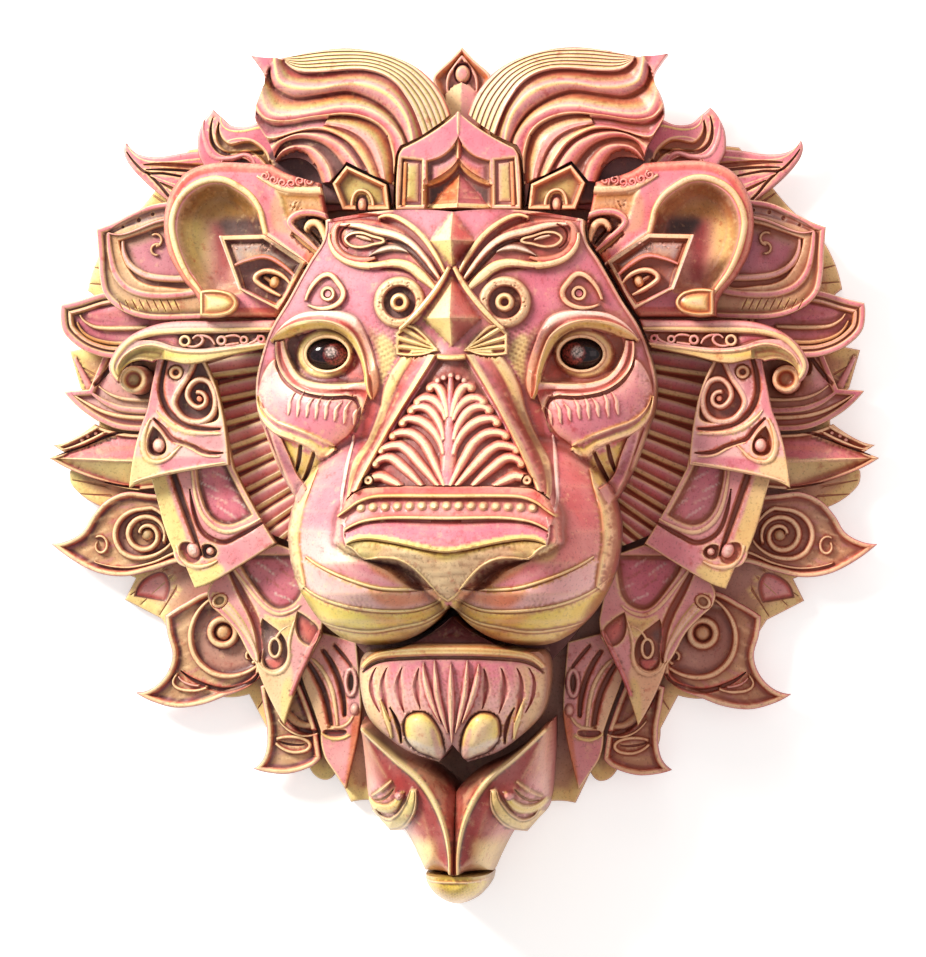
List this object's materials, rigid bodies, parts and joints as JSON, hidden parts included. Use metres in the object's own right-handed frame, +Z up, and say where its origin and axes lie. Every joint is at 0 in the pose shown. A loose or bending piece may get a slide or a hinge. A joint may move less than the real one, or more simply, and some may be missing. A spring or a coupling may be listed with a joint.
{
  "type": "lion wall sculpture",
  "caption": "Lion's head for a wall, built up from carved and painted boards: face, ears, eyes, mane of leaves and spirals, crest, chin and beard.",
  "frame": {"origin": "centre of the flat back, on the wall", "axes": "+Z up, +Y into the wall, the face looks along -Y, +X to the right seen from the front"},
  "size_m": [0.5838, 0.1805, 0.5986],
  "materials": {
    "rose_paint": "carved wood, rose paint with cream edges and maroon hollows, satin",
    "cream_paint": "carved wood, cream and yellow paint, satin",
    "maroon_paint": "carved wood, dark red paint, satin",
    "gold_paint": "carved wood, gold paint, satin",
    "dark_glass": "dark glass, polished, opaque"
  },
  "bodies": {
    "root": {"back_plate": "cream_paint", "ruff": "maroon_paint", "crest_finial": "rose_paint", "crest_gable": "rose_paint", "face_mask": "rose_paint", "chin": "rose_paint", "beard_tip": "gold_paint", "crest_plume_left": "rose_paint", "crest_plume_right": "rose_paint", "crest_socket_left": "cream_paint", "crest_socket_right": "cream_paint", "mane_lock_left": "rose_paint", "mane_lock_right": "rose_paint", "horn_leaf_left": "rose_paint", "horn_leaf_right": "rose_paint", "ear_left": "cream_paint", "ear_right": "cream_paint", "ear_frame_left": "rose_paint", "ear_frame_right": "rose_paint", "ear_tab_left": "gold_paint", "ear_tab_right": "gold_paint", "shell_leaf_left": "rose_paint", "shell_leaf_right": "rose_paint", "cheek_leaf_left": "rose_paint", "cheek_leaf_right": "rose_paint", "temple_band_left": "cream_paint", "temple_band_right": "cream_paint", "cup_leaf_left": "rose_paint", "cup_leaf_right": "rose_paint", "arrow_leaf_left": "rose_paint", "arrow_leaf_right": "rose_paint", "spiral_leaf_upper_left": "rose_paint", "spiral_leaf_upper_right": "rose_paint", "spiral_leaf_lower_left": "rose_paint", "spiral_leaf_lower_right": "rose_paint", "beard_leaf_left": "rose_paint", "beard_leaf_right": "rose_paint", "side_plate_1_left": "rose_paint", "side_plate_1_right": "rose_paint", "side_plate_2_left": "rose_paint", "side_plate_2_right": "rose_paint", "side_plate_3_left": "rose_paint", "side_plate_3_right": "rose_paint", "side_plate_4_left": "rose_paint", "side_plate_4_right": "rose_paint", "beard_limb_left": "rose_paint", "beard_limb_right": "rose_paint", "eye_left": "dark_glass", "eye_right": "dark_glass"}
  },
  "joints": []
}
